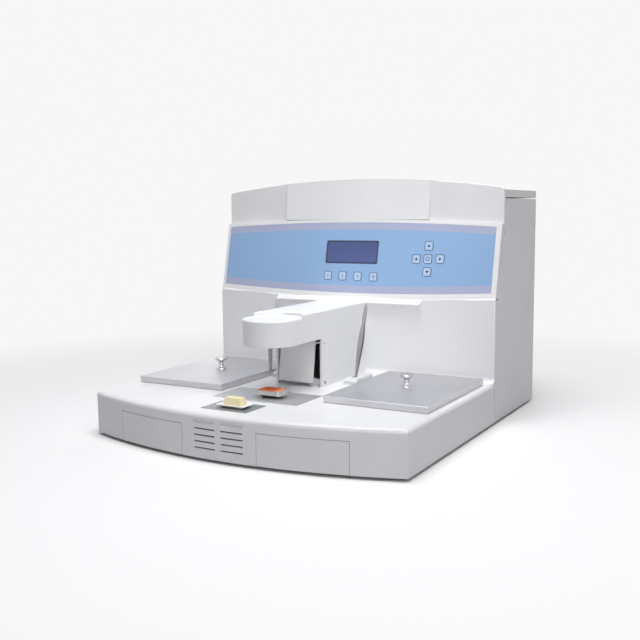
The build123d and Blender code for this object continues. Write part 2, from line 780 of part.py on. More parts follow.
def make_nozzle():
    top = arm_foot + wall + 3
    bore = pipe_bore / 2
    profile = [(bore, nozzle_tip), (2.1, nozzle_tip), (2.5, nozzle_tip + 1.5),
               (3.6, arm_foot - 9), (4.1, arm_foot - 6), (4.4, arm_foot - 3.4),
               (6.6, arm_foot - 1.6), (7.0, arm_foot), (6.0, arm_foot), (6.0, top), (bore, top)]
    return revolve_profile(profile, column_x, nozzle_y)


pieces["nozzle"] = make_nozzle()


def pipe_run(points, radii):
    path = Wire(FilletPolyline(*points, radius=radii[0]).edges())
    ring = Circle(pipe_radius) - Circle(pipe_bore)
    start = Plane(origin=path @ 0, z_dir=path % 0)
    return sweep(start * ring, path=path)


def make_wax_pipes():
    nozzle_top = arm_foot + wall + 3
    front = pipe_run([(column_x, nozzle_y, nozzle_top), (column_x, nozzle_y, pipe_z),
                      (column_x, valve_front, pipe_z)], [10.0])
    outlet_y = tank_front + 15
    rear = pipe_run([(column_x, valve_back, pipe_z), (column_x, outlet_y, pipe_z),
                     (column_x, outlet_y, tank_foot)], [20.0])
    return [front, rear]


pieces["wax_pipes"] = make_wax_pipes()


def make_solenoid_valve():
    valve = block(column_x - 15, column_x + 15, valve_front, valve_back, pipe_z - 11, pipe_z + 6)
    coil_y = (valve_front + valve_back) / 2
    valve += rod((column_x, coil_y, pipe_z - 40), (0, 0, 1), 30, 13)
    valve += block(column_left + arm_wall, column_x - 14, coil_y - 6, coil_y + 6,
                   pipe_z - 10, pipe_z - 7)
    return valve


pieces["solenoid_valve"] = make_solenoid_valve()


# Dispense paddle, its pin, switch and the louvred insert behind it
def make_paddle():
    left, right = paddle_x - paddle_half, paddle_x + paddle_half
    foot_y = paddle_pin_y - paddle_lean
    top_z = paddle_pin_z - 1
    bulge = 2.0
    front_mid = ((paddle_pin_y + foot_y) / 2 - bulge, (top_z + paddle_foot_z) / 2)
    back_mid = (front_mid[0] + paddle_thickness, front_mid[1])
    front = ThreePointArc((paddle_pin_y - 3.4, top_z), front_mid, (foot_y, paddle_foot_z))
    back = ThreePointArc((paddle_pin_y - 3.4 + paddle_thickness, top_z), back_mid,
                         (foot_y + paddle_thickness, paddle_foot_z))
    ends = Line(front @ 0, back @ 0) + Line(front @ 1, back @ 1)
    profile = make_face(Plane.YZ * (front + back + ends))
    plate = Pos(left, 0, 0) * extrude(profile, right - left, dir=(1, 0, 0))
    for x in (left, right - 10):
        plate += rod((x, paddle_pin_y, paddle_pin_z), (1, 0, 0), 10, 3.8)
    plate -= rod((left - 1, paddle_pin_y, paddle_pin_z), (1, 0, 0), 2 * paddle_half + 2,
                 paddle_pin + pin_clearance)
    return plate


pieces["dispense_paddle"] = make_paddle()
pieces["paddle_pin"] = rod((column_left + 1, paddle_pin_y, paddle_pin_z), (1, 0, 0),
                           2 * arm_half - 2, paddle_pin)


def make_column_grille():
    left, right = column_left + arm_wall, column_right - arm_wall
    grille = block(left, right, grille_y, grille_y + 3, foot_bar_top, arm_foot - 1)
    slot, pitch, border = 2.6, 5.4, 6.0
    low, high = foot_bar_top + border, arm_foot - 1 - border
    columns = int((right - left - 2 * border) / pitch)
    first = (left + right - (columns - 1) * pitch) / 2
    for column in range(columns):
        shape = Plane.XZ * Pos(first + column * pitch, (low + high) / 2) * SlotOverall(
            high - low, slot, rotation=90)
        grille -= Pos(0, grille_y + 4, 0) * extrude(shape, 5)
    return grille


pieces["column_grille"] = make_column_grille()


def make_dispense_switch():
    body_front = grille_y - 8
    body = block(-18, 2, body_front, grille_y, foot_bar_top, foot_bar_top + 10)
    return body + rod((-8, body_front - 0.6, foot_bar_top + 5), (0, 1, 0), 3, 1.6)


pieces["dispense_switch"] = make_dispense_switch()


# Forceps holders and forceps
def place_in_slot(x, shape):
    """Stand a shape on the slot's floor, leaning back as the slot does."""
    return Pos(x, tip_y, deck_top + slot_floor) * Rot(-forceps_lean, 0, 0) * shape


def make_holder(x):
    back = holder_front + holder_length
    body = block(x - holder_half, x + holder_half, holder_front, back, deck_top,
                 deck_top + holder_height)
    front_top = body.edges().filter_by(Axis.X).group_by(Axis.Z)[-1].sort_by(Axis.Y)[0]
    body = chamfer(front_top, 5.0, 8.0)
    lengths = [e for e in body.edges().filter_by(Axis.Y) if e.center().Z > deck_top + 8]
    body = fillet(lengths, 4.0)
    slot = Pos(0, -slot_length / 2 + 4, 20) * Box(slot_width, slot_length, 40)
    return body - place_in_slot(x, slot)


pieces["forceps_holders"] = [make_holder(holder_x), make_holder(holder_x_left)]


def make_forceps():
    top, joint, waist = forceps_length, forceps_length - 24, forceps_length - 38
    lift = gap
    lower = [(0.9, lift), (1.3, 14), (3.9, 60), (4.2, 80), (2.2, waist)]
    upper = [(2.2, waist), (3.1, joint - 6), (3.1, joint + 10), (1.6, top - 4), (0, top)]
    outline = Line((-lower[0][0], lift), (lower[0][0], lift))
    for run in (lower, upper):
        outline += Spline(*run) + Spline(*[(-x, z) for x, z in run])
    blank = Pos(0, 10, 0) * extrude(Plane.XZ * make_face(outline), 20)
    tip = 0.2
    middle = (lift + joint) / 2
    inner = [(tip, lift), (forceps_spread, middle), (0, joint)]
    outer = [(y + forceps_sheet, z) for y, z in inner]
    arm_face = Plane.YZ * make_face(
        ThreePointArc(*outer) + ThreePointArc(*inner) + Line(outer[0], inner[0])
        + Polyline(outer[2], (forceps_sheet, top), (0, top), inner[2]))
    arm = Pos(-10, 0, 0) * extrude(arm_face, 20, dir=(1, 0, 0))
    return place_in_slot(holder_x, blank & (arm + mirror(arm, Plane.XZ)))


pieces["forceps"] = make_forceps()


# Tissue on the plates: steel mould with its cassette, and a cassette with a block of wax
def tapered_tray(x0, x1, y0, y1, z0, height, flare, sheet):
    """A shallow tray whose walls lean out towards the top."""
    centre = Plane(origin=((x0 + x1) / 2, (y0 + y1) / 2, z0))
    size_x, size_y = x1 - x0, y1 - y0
    outer = centre * extrude(RectangleRounded(size_x, size_y, 2.5), height, taper=-flare)
    inner = (centre * Pos(0, 0, sheet)) * extrude(
        RectangleRounded(size_x - 2 * sheet, size_y - 2 * sheet, 1.5), height, taper=-flare)
    return outer - inner


plate_top = deck_top + plate_proud
mould_x0, mould_x1, mould_y0, mould_y1 = -17.0, 26.0, 80.0, 112.0
mould_well, mould_skirt, mould_sheet, mould_flare = 5.4, 6.3, 0.8, 38.0
mould_lip_left, mould_lip_right = 7.5, 4.0
mould_bottom_x, mould_bottom_y = 32.0, 16.0
cassette_height, cassette_slope, cassette_drop = 6.7, 8.0, 4.5


def ring(x0, x1, y0, y1, z0, z1, hole_x, hole_y, corner):
    """A flat rounded plate with a rounded hole in its middle."""
    centre = Pos((x0 + x1) / 2, (y0 + y1) / 2, z0)
    plate = RectangleRounded(x1 - x0, y1 - y0, corner)
    return centre * extrude(plate - RectangleRounded(hole_x, hole_y, corner), z1 - z0)


def make_base_mould():
    z0 = plate_top + gap
    ledge = z0 + mould_well
    middle_x, middle_y = (mould_x0 + mould_x1) / 2, (mould_y0 + mould_y1) / 2
    well = tapered_tray(middle_x - mould_bottom_x / 2, middle_x + mould_bottom_x / 2,
                        middle_y - mould_bottom_y / 2, middle_y + mould_bottom_y / 2, z0,
                        mould_well, mould_flare, mould_sheet)
    spread = mould_well * tan(radians(mould_flare)) * 2 - 2 * mould_sheet
    hole_x, hole_y = mould_bottom_x + spread, mould_bottom_y + spread
    rim = ring(mould_x0, mould_x1, mould_y0, mould_y1, ledge - mould_sheet, ledge, hole_x,
               hole_y, 3.0)
    lips = ring(mould_x0 - mould_lip_left, mould_x1 + mould_lip_right, mould_y0 + 1,
                mould_y1 - 1, ledge - mould_sheet, ledge, hole_x, hole_y, 4.0)
    inner_x, inner_y = mould_x1 - mould_x0 - 2 * mould_sheet, mould_y1 - mould_y0 - 2 * mould_sheet
    skirt = ring(mould_x0, mould_x1, mould_y0, mould_y1, ledge - mould_sheet,
                 ledge + mould_skirt, inner_x, inner_y, 2.6)
    return well + rim + lips + skirt


def make_orange_cassette():
    z0 = plate_top + gap + mould_well + gap
    top = z0 + cassette_height
    slack = mould_sheet + gap
    x0, x1, y0, y1 = mould_x0 + slack, mould_x1 - slack, mould_y0 + slack, mould_y1 - slack
    cassette = block(x0, x1, y0, y1, z0, top)
    cassette = chamfer(cassette.edges().filter_by(Axis.Z), 2.6)
    slope_end = x1 - cassette_slope
    slope = Plane.XZ * make_face(Polyline((slope_end, top + 0.1), (x1 + 0.1, top - cassette_drop),
                                          (x1 + 0.1, top + 0.1), close=True))
    cassette -= Pos(0, y1 + 1, 0) * extrude(slope, y1 - y0 + 2)
    rim, floor = 1.5, 1.6
    cassette -= block(x0 + rim, slope_end - rim, y0 + rim, y1 - rim, z0 + floor, top + 1)
    slots, slot = 6, 1.5
    pitch = (y1 - y0 - 4 * rim - slot) / (slots - 1)
    for index in range(slots):
        y = y0 + 2 * rim + index * pitch
        cassette -= block(x0 + 3 * rim, slope_end - 3 * rim, y, y + slot, z0 - 1, z0 + 3)
    return cassette


pieces["base_mould"] = make_base_mould()
pieces["orange_cassette"] = make_orange_cassette()
cast_x0, cast_x1, cast_y0, cast_y1 = -33.0, 20.0, -9.0, 23.0
cast_height, cast_flare, cast_sheet = 4.4, 35.0, 1.4
cast_bottom_x, cast_bottom_y = 38.0, 23.0
wax_height, wax_taper = 13.5, 14.0


def make_white_cassette():
    middle_x, middle_y = (cast_x0 + cast_x1) / 2, (cast_y0 + cast_y1) / 2
    z0 = plate_top + gap
    tray = tapered_tray(middle_x - cast_bottom_x / 2, middle_x + cast_bottom_x / 2,
                        middle_y - cast_bottom_y / 2, middle_y + cast_bottom_y / 2, z0,
                        cast_height, cast_flare, cast_sheet)
    spread = cast_height * tan(radians(cast_flare)) * 2 - 2 * cast_sheet
    rim = ring(cast_x0, cast_x1, cast_y0, cast_y1, z0 + cast_height - 1.0, z0 + cast_height,
               cast_bottom_x + spread, cast_bottom_y + spread, 3.0)
    return tray + rim


def make_wax_block():
    z0 = plate_top + gap + cast_sheet
    centre = Plane(origin=((cast_x0 + cast_x1) / 2, (cast_y0 + cast_y1) / 2, z0))
    outline = Rectangle(cast_bottom_x - 2 * cast_sheet, cast_bottom_y - 2 * cast_sheet)
    wax = extrude(outline, wax_height, taper=wax_taper)
    wax = centre * fillet([e for e in wax.edges() if abs(e.tangent_at(0.5).Z) > 0.5], 2.0)
    return fillet(wax.faces().sort_by(Axis.Z)[-1].edges(), 1.2)


pieces["white_cassette"] = make_white_cassette()
pieces["wax_block"] = make_wax_block()


# Top lid of the cabinet and its hinges
hinge_spans = [(sign * hinge_place - hinge_length / 2, sign * hinge_place + hinge_length / 2)
               for sign in (-1, 1)]
knuckle = hinge_length / 4


def make_top_lid():
    front = brow_back + 0.4
    lid = block(-half, half, front, cabinet_back, lid_gap_top, cabinet_top)
    rear_top = [e for e in lid.edges().filter_by(Axis.X) if e.center().Z > cabinet_top - 1
                and e.center().Y > cabinet_back - 1]
    lid = fillet(rear_top, lid_edge_round)
    side_top = [e for e in lid.edges() if abs(abs(e.center().X) - half) < 0.1
                and e.center().Z > lid_gap_top + 1 and abs(e.tangent_at(0.5).Z) < 0.9
                and e.center().Y > front + 1]
    lid = fillet(side_top, 1.5)
    lid -= block(-half + lid_sheet, half - lid_sheet, front + lid_sheet,
                 cabinet_back - lid_sheet - 1, lid_gap_top - 1, cabinet_top - lid_sheet)
    for x0, x1 in hinge_spans:
        lid -= rod((x0 - gap, hinge_y, hinge_z), (1, 0, 0), x1 - x0 + 2 * gap, hinge_radius + gap)
        middle = rod((x0 + knuckle + gap, hinge_y, hinge_z), (1, 0, 0),
                     x1 - x0 - 2 * knuckle - 2 * gap, hinge_radius)
        middle += block(x0 + knuckle + gap, x1 - knuckle - gap, cabinet_back - lid_sheet,
                        cabinet_back, hinge_z + 1.8, lid_gap_top + 8)
        lid += middle
        lid -= rod((x0 - 1, hinge_y, hinge_z), (1, 0, 0), x1 - x0 + 2, hinge_pin + pin_clearance)
    return lid


def make_lid_hinges():
    hinges = []
    for x0, x1 in hinge_spans:
        hinge = block(x0, x1, rear_outer, rear_outer + 1.8, hinge_z - 32, hinge_z - 4.5)
        for start in (x0, x1 - knuckle):
            hinge += rod((start, hinge_y, hinge_z), (1, 0, 0), knuckle, hinge_radius)
            hinge += block(start, start + knuckle, rear_outer, rear_outer + 1.8, hinge_z - 5,
                           hinge_z - 0.8)
        hinge += rod((x0, hinge_y, hinge_z), (1, 0, 0), x1 - x0, hinge_pin)
        hinges.append(hinge)
    return hinges


pieces["top_lid"] = make_top_lid()
pieces["lid_hinges"] = make_lid_hinges()


# Power supply, main board, inlet module and rocker switch
supply_right, supply_back = half - 60, rear_outer - 25
supply_width, supply_length, supply_height = 170.0, 102.0, 48.0
board_left, board_back = -half + 80, rear_outer - 37
board_width, board_length, board_sheet, board_lift = 160.0, 130.0, 1.6, 10.0


def make_power_supply():
    supply = block(supply_right - supply_width, supply_right, supply_back - supply_length,
                   supply_back, pan_sheet, pan_sheet + supply_height)
    supply = chamfer(supply.edges().filter_by(Axis.Z), 2.0)
    terminals = block(supply_right - 1, supply_right + 14, supply_back - 92, supply_back - 12,
                      pan_sheet, pan_sheet + 20)
    return supply + terminals


def make_main_board():
    foot = pan_sheet + board_lift
    top = foot + board_sheet
    right, front = board_left + board_width, board_back - board_length
    board = block(board_left, right, front, board_back, foot, top)
    for x in (board_left + 8, right - 8):
        for y in (front + 8, board_back - 8):
            board += rod((x, y, pan_sheet), (0, 0, 1), board_lift, 3)
    board += block(board_left + 20, board_left + 60, front + 20, front + 50, top, top + 20)
    board += block(right - 80, right - 40, front + 70, front + 82, top, top + 12)
    board += block(board_left + 20, right - 40, board_back - 25, board_back - 13, top, top + 11)
    return board


pieces["power_supply"] = make_power_supply()
pieces["main_board"] = make_main_board()

socket_x = inlet_x + 16
rocker_x = inlet_x - 24
socket_width, socket_height, socket_depth = 25.0, 17.0, 16.0
rocker_width, rocker_height = 13.0, 22.0
module_depth = 24.0
rocker_pin = 1.2


def make_power_inlet():
    front = cabinet_back - 1.2
    module = block(inlet_x - inlet_width / 2 + gap, inlet_x + inlet_width / 2 - gap,
                   rear_outer - module_depth, rear_outer, inlet_z - inlet_height / 2 + gap,
                   inlet_z + inlet_height / 2 - gap)
    module += block(inlet_x - inlet_width / 2 - 4, inlet_x + inlet_width / 2 + 4, rear_outer,
                    front, inlet_z - inlet_height / 2 - 4, inlet_z + inlet_height / 2 + 4)
    module -= block(socket_x - socket_width / 2, socket_x + socket_width / 2,
                    front - socket_depth, front + 1, inlet_z - socket_height / 2,
                    inlet_z + socket_height / 2)
    pins = [(-7.0, -1.0), (7.0, -1.0), (0.0, 3.6)]
    for dx, dz in pins:
        module += block(socket_x + dx - 1, socket_x + dx + 1, front - socket_depth - 1,
                        front - 3, inlet_z + dz - 2, inlet_z + dz + 2)
    module -= block(rocker_x - rocker_width / 2 - gap, rocker_x + rocker_width / 2 + gap,
                    front - 14, front + 1, inlet_z - rocker_height / 2 - gap,
                    inlet_z + rocker_height / 2 + gap)
    module += rod((rocker_x - rocker_width / 2 - 1, front - 5, inlet_z), (1, 0, 0),
                  rocker_width + 2, rocker_pin)
    return module


def make_power_rocker():
    front = cabinet_back - 1.2
    left = rocker_x - rocker_width / 2
    h = rocker_height / 2 - 1.2
    profile = [(front - 8.5, inlet_z - 4), (front - 8.5, inlet_z + 4), (front - 3.4, inlet_z + h),
               (front - 1.6, inlet_z + h), (front - 1.9, inlet_z), (front + 1.0, inlet_z - h),
               (front - 3.4, inlet_z - h)]
    rocker = side_prism(profile, left, left + rocker_width)
    return rocker - rod((left - 1, front - 5, inlet_z), (1, 0, 0), rocker_width + 2,
                        rocker_pin + pin_clearance)


pieces["power_inlet"] = make_power_inlet()
pieces["power_rocker"] = make_power_rocker()


# Small screws: two on the column's feet, one in its foot bar and six on the rear panel
def make_screws():
    screws = []
    head, height = 2.6, 1.1
    for x, direction in ((column_right, (1, 0, 0)), (column_left, (-1, 0, 0))):
        screws.append(rod((x, column_front + 8.6, deck_top + 7.5), direction, height, head))
    screws.append(rod((column_left + 11, grille_y - foot_bar_depth, deck_top + 4), (0, -1, 0),
                      height, 1.8))
    for x in (-half + 15, 0.0, half - 15):
        for z in (30.0, lid_gap_foot - 40):
            screws.append(rod((x, rear_outer, z), (0, 1, 0), 1.8, head + 0.6))
    return screws


pieces["screws"] = make_screws()

# Move every piece so that the origin is at the middle of the object's underside, and write it
shift = Pos(0, -origin_y, foot_height)
for name, shape in pieces.items():
    solids = shape if isinstance(shape, list) else [shape]
    parts = [solid for item in solids for solid in item.solids()]
    placed = [shift * solid for solid in parts]
    whole = placed[0] if len(placed) == 1 else Compound(children=placed)
    export_step(whole, f"parts/{name}.step")
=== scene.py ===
import math
import bpy
from mathutils import Matrix, Vector


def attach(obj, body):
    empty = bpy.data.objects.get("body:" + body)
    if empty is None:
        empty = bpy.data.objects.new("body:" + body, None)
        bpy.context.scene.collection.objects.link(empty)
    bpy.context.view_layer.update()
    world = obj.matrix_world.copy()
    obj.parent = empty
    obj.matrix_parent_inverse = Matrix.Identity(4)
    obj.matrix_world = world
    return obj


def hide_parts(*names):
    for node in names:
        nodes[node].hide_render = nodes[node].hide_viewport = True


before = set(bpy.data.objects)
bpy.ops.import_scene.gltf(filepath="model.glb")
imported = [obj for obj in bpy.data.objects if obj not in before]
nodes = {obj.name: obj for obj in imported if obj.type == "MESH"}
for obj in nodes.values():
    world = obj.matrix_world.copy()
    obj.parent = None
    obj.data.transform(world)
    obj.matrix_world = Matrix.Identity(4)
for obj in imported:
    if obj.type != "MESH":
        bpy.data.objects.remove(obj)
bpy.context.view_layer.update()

print("frame loaded:", len(nodes), "nodes")


# Camera at the photograph's angle
cameraSpec = {
    "place": (0.7692, -1.3546, 0.3748),
    "yaw": 29.815,
    "pitch": -7.066,
    "roll": -0.586,
    "lens": 49.0,
    "sensor": 36.0,
}
cameraData = bpy.data.cameras.new("photoCamera")
cameraData.lens = cameraSpec["lens"]
cameraData.sensor_width = cameraSpec["sensor"]
camera = bpy.data.objects.new("photoCamera", cameraData)
bpy.context.scene.collection.objects.link(camera)
turn = (Matrix.Rotation(math.radians(cameraSpec["yaw"]), 4, "Z")
        @ Matrix.Rotation(math.radians(90 + cameraSpec["pitch"]), 4, "X")
        @ Matrix.Rotation(math.radians(cameraSpec["roll"]), 4, "Z"))
camera.matrix_world = Matrix.Translation(cameraSpec["place"]) @ turn
bpy.context.scene.camera = camera
bpy.context.scene.view_settings.view_transform = "Standard"
print("camera set")


# Shader helpers
def startMaterial(name, color, rough, metal=0.0):
    material = bpy.data.materials.new(name)
    material.use_nodes = True
    shader = material.node_tree.nodes["Principled BSDF"]
    shader.inputs["Base Color"].default_value = (*color, 1)
    shader.inputs["Roughness"].default_value = rough
    shader.inputs["Metallic"].default_value = metal
    return material, material.node_tree, shader


def objectPoint(tree, scale=(1, 1, 1)):
    coords = tree.nodes.new("ShaderNodeTexCoord")
    mapping = tree.nodes.new("ShaderNodeMapping")
    mapping.inputs["Scale"].default_value = scale
    tree.links.new(coords.outputs["Object"], mapping.inputs["Vector"])
    return mapping.outputs["Vector"]


def noiseValue(tree, point, scale, detail, rough=0.5):
    noise = tree.nodes.new("ShaderNodeTexNoise")
    noise.inputs["Scale"].default_value = scale
    noise.inputs["Detail"].default_value = detail
    noise.inputs["Roughness"].default_value = rough
    tree.links.new(point, noise.inputs["Vector"])
    return noise.outputs["Fac"]


def rangeValue(tree, value, low, high, newLow, newHigh):
    node = tree.nodes.new("ShaderNodeMapRange")
    for name, number in (("From Min", low), ("From Max", high), ("To Min", newLow), ("To Max", newHigh)):
        node.inputs[name].default_value = number
    tree.links.new(value, node.inputs["Value"])
    return node.outputs["Result"]


def calc(tree, operation, first, second=0.0):
    node = tree.nodes.new("ShaderNodeMath")
    node.operation = operation
    for socket, value in zip(node.inputs, (first, second)):
        if isinstance(value, (int, float)):
            socket.default_value = value
        else:
            tree.links.new(value, socket)
    return node.outputs[0]


def mixColor(tree, factor, first, second):
    node = tree.nodes.new("ShaderNodeMix")
    node.data_type = "RGBA"
    tree.links.new(factor, node.inputs["Factor"])
    for socket, value in ((node.inputs["A"], first), (node.inputs["B"], second)):
        if isinstance(value, tuple):
            socket.default_value = (*value, 1)
        else:
            tree.links.new(value, socket)
    return node.outputs["Result"]


def addBump(tree, shader, height, distance):
    bump = tree.nodes.new("ShaderNodeBump")
    bump.inputs["Distance"].default_value = distance
    tree.links.new(height, bump.inputs["Height"])
    tree.links.new(bump.outputs["Normal"], shader.inputs["Normal"])


# Finishes
paintLook = {
    "color": (0.80, 0.80, 0.815),
    "shade": (0.765, 0.77, 0.785),
    "rough": (0.30, 0.40),
    "peelScale": 900.0,
    "peelDepth": 0.00003,
}


def paintMaterial(name, look):
    material, tree, shader = startMaterial(name, look["color"], look["rough"][0])
    point = objectPoint(tree)
    broad = noiseValue(tree, point, 7.0, 3.0)
    color = mixColor(tree, rangeValue(tree, broad, 0.35, 0.65, 0, 1), look["color"], look["shade"])
    tree.links.new(color, shader.inputs["Base Color"])
    fine = noiseValue(tree, point, 60.0, 4.0)
    rough = rangeValue(tree, fine, 0.3, 0.7, *look["rough"])
    tree.links.new(rough, shader.inputs["Roughness"])
    addBump(tree, shader, noiseValue(tree, point, look["peelScale"], 1.0), look["peelDepth"])
    return material


whitePaint = paintMaterial("whitePaint", paintLook)
# The paddle's copy of the white paint is a little lighter: painted light that brightens the whole paddle
# under the arm's shade.
paddleLitLook = dict(paintLook, color=(0.82, 0.82, 0.83), shade=(0.78, 0.78, 0.79))
paddleLitPaint = paintMaterial("paddleLitPaint", paddleLitLook)


def brushedMaterial(name, color, rough, grain, depth=0.00002, streak=0.12):
    material, tree, shader = startMaterial(name, color, rough, 1.0)
    point = objectPoint(tree, scale=grain)
    lines = noiseValue(tree, point, 1.0, 6.0, 0.6)
    cloud = noiseValue(tree, objectPoint(tree), 14.0, 3.0)
    dark = tuple(c * (1 - streak) for c in color)
    tint = mixColor(tree, rangeValue(tree, lines, 0.3, 0.7, 0, 1), dark, color)
    tree.links.new(tint, shader.inputs["Base Color"])
    both = calc(tree, "ADD", calc(tree, "MULTIPLY", lines, 0.5), calc(tree, "MULTIPLY", cloud, 0.5))
    tree.links.new(rangeValue(tree, both, 0.35, 0.65, rough * 0.85, rough * 1.2), shader.inputs["Roughness"])
    addBump(tree, shader, lines, depth)
    return material


lidSteel = brushedMaterial("lidSteel", (0.62, 0.62, 0.645), 0.38, (18, 900, 18))
traySteel = brushedMaterial("traySteel", (0.60, 0.60, 0.59), 0.30, (30, 30, 500))
zincSteel = brushedMaterial("zincSteel", (0.50, 0.51, 0.52), 0.42, (120, 120, 120), streak=0.2)
forcepsSteel = brushedMaterial("forcepsSteel", (0.40, 0.40, 0.405), 0.36, (900, 900, 60))
chromeMetal = brushedMaterial("chromeMetal", (0.60, 0.60, 0.62), 0.12, (300, 300, 300), 0.000004, 0.03)
hotPlateMetal = brushedMaterial("hotPlateMetal", (0.60, 0.60, 0.61), 0.45, (700, 16, 16))
coldPlateMetal = brushedMaterial("coldPlateMetal", (0.36, 0.37, 0.38), 0.42, (700, 16, 16), streak=0.15)
# The nozzle's chrome has a dark base colour: painted shade that stands in for the dark surroundings it
# reflects.
nozzleShadedSteel = brushedMaterial("nozzleShadedSteel", (0.24, 0.24, 0.245), 0.28, (60, 60, 900), 0.000003, 0.08)
screwSteel = brushedMaterial("screwSteel", (0.30, 0.30, 0.31), 0.35, (200, 200, 200))
bareAluminium = brushedMaterial("bareAluminium", (0.72, 0.72, 0.73), 0.35, (60, 60, 700))


def mouldedMaterial(name, color, rough, speckle=0.06, depth=0.00003, scale=700.0):
    material, tree, shader = startMaterial(name, color, rough)
    point = objectPoint(tree)
    grain = noiseValue(tree, point, scale, 3.0)
    dark = tuple(c * (1 - speckle) for c in color)
    tree.links.new(mixColor(tree, rangeValue(tree, grain, 0.35, 0.65, 0, 1), dark, color),
                   shader.inputs["Base Color"])
    tree.links.new(rangeValue(tree, grain, 0.3, 0.7, rough * 0.9, rough * 1.1), shader.inputs["Roughness"])
    addBump(tree, shader, grain, depth)
    return material


blackPlastic = mouldedMaterial("blackPlastic", (0.018, 0.018, 0.020), 0.45)
footRubber = mouldedMaterial("footRubber", (0.03, 0.03, 0.03), 0.85, 0.2)
palePlastic = mouldedMaterial("palePlastic", (0.62, 0.63, 0.62), 0.5)
whiteAcetal = mouldedMaterial("whiteAcetal", (0.84, 0.84, 0.83), 0.38)
orangeAcetal = mouldedMaterial("orangeAcetal", (0.88, 0.30, 0.13), 0.36)
heaterSilicone = mouldedMaterial("heaterSilicone", (0.45, 0.10, 0.05), 0.7)
circuitGreen = mouldedMaterial("circuitGreen", (0.03, 0.17, 0.08), 0.35, 0.2)
whiteCeramic = mouldedMaterial("whiteCeramic", (0.82, 0.82, 0.80), 0.5)
waxCream = mouldedMaterial("waxCream", (0.88, 0.78, 0.50), 0.35, 0.05, 0.0001, 120.0)
waxCream.node_tree.nodes["Principled BSDF"].inputs["Subsurface Weight"].default_value = 0.35
waxCream.node_tree.nodes["Principled BSDF"].inputs["Subsurface Radius"].default_value = (0.006, 0.004, 0.002)
print("finishes made")


# The printed overlay: sky blue with a mauve band along its upper and lower edges
machineShift = (0.0, -0.276, 0.005)  # from the machine's own origin to the frame's
panelSpec = {
    "depth": 0.383,
    "height": 0.2828,
    "tilt": math.atan2(0.028, 0.1284),
}
panelSpec["middle"] = (0.0, panelSpec["depth"] + machineShift[1], panelSpec["height"] + machineShift[2])
overlaySpec = {
    "left": -0.283,
    "right": 0.280,
    "topEnds": 0.0594,
    "topMiddle": 0.0682,
    "footEnds": -0.0571,
    "footMiddle": -0.0660,
    "band": 0.0135,
    "sky": (0.265, 0.42, 0.665),
    "mauve": (0.40, 0.43, 0.60),
}


def panelCoordinates(tree):
    coords = tree.nodes.new("ShaderNodeTexCoord")
    split = tree.nodes.new("ShaderNodeSeparateXYZ")
    tree.links.new(coords.outputs["Object"], split.inputs["Vector"])
    middle, tilt = panelSpec["middle"], panelSpec["tilt"]
    along = calc(tree, "MULTIPLY", calc(tree, "SUBTRACT", split.outputs["Y"], middle[1]), math.sin(tilt))
    up = calc(tree, "MULTIPLY", calc(tree, "SUBTRACT", split.outputs["Z"], middle[2]), math.cos(tilt))
    return split.outputs["X"], calc(tree, "ADD", along, up), coords.outputs["Object"]


def arcValue(tree, x, ends, middle):
    halfLength = (overlaySpec["right"] - overlaySpec["left"]) / 2
    centre = (overlaySpec["right"] + overlaySpec["left"]) / 2
    share = calc(tree, "DIVIDE", calc(tree, "SUBTRACT", x, centre), halfLength)
    drop = calc(tree, "MULTIPLY", calc(tree, "MULTIPLY", share, share), middle - ends)
    return calc(tree, "SUBTRACT", middle, drop)


def overlayMaterial():
    spec = overlaySpec
    material, tree, shader = startMaterial("overlayFilm", spec["sky"], 0.32)
    x, v, point = panelCoordinates(tree)
    upper = calc(tree, "SUBTRACT", arcValue(tree, x, spec["topEnds"], spec["topMiddle"]), spec["band"])
    lower = calc(tree, "ADD", arcValue(tree, x, spec["footEnds"], spec["footMiddle"]), spec["band"])
    band = calc(tree, "MAXIMUM", calc(tree, "GREATER_THAN", v, upper), calc(tree, "LESS_THAN", v, lower))
    cloud = noiseValue(tree, point, 5.0, 2.0)
    pale = tuple(min(1, c * 1.05) for c in spec["sky"])
    sky = mixColor(tree, rangeValue(tree, cloud, 0.35, 0.65, 0, 1), spec["sky"], pale)
    tree.links.new(mixColor(tree, band, sky, spec["mauve"]), shader.inputs["Base Color"])
    addBump(tree, shader, noiseValue(tree, point, 1500.0, 1.0), 0.000012)
    return material


overlayFilm = overlayMaterial()

keySpec = {
    "places": {
        "key_menu_1": (-0.0458, 0.2492), "key_menu_2": (-0.0142, 0.2492),
        "key_menu_3": (0.0179, 0.2492), "key_menu_4": (0.0506, 0.2492),
        "key_up": (0.1570, 0.3071), "key_left": (0.1341, 0.2832), "key_enter": (0.1568, 0.2836),
        "key_right": (0.1804, 0.2840), "key_down": (0.1573, 0.2607),
    },
    "half": (0.00815, 0.0085),
    "round": 0.0035,
    "line": 0.0011,
    "fill": (0.42, 0.55, 0.74),
    "ink": (0.045, 0.075, 0.16),
    "mark": (0.02, 0.03, 0.07),
    "arrows": {"key_up": (0, 1), "key_down": (0, -1), "key_left": (-1, 0), "key_right": (1, 0)},
    "arrowTip": 0.0030,
    "arrowBase": -0.0020,
    "arrowSlope": 0.62,
    "ringRadius": 0.0034,
    "ringHalf": 0.0006,
}


def panelHeight(z):
    return (z - panelSpec["height"]) / math.cos(panelSpec["tilt"])  # along the tilted panel, from its middle


def keyPanelPlace(key):
    x, z = keySpec["places"][key]
    return x, panelHeight(z)


def roundedReach(tree, x, v, centre, half, corner):
    outX, outV = (calc(tree, "MAXIMUM", calc(tree, "SUBTRACT", calc(
        tree, "ABSOLUTE", calc(tree, "SUBTRACT", value, middle)), size - corner), 0.0)
        for value, middle, size in ((x, centre[0], half[0]), (v, centre[1], half[1])))
    return calc(tree, "SQRT", calc(tree, "ADD", calc(tree, "MULTIPLY", outX, outX),
                                   calc(tree, "MULTIPLY", outV, outV)))


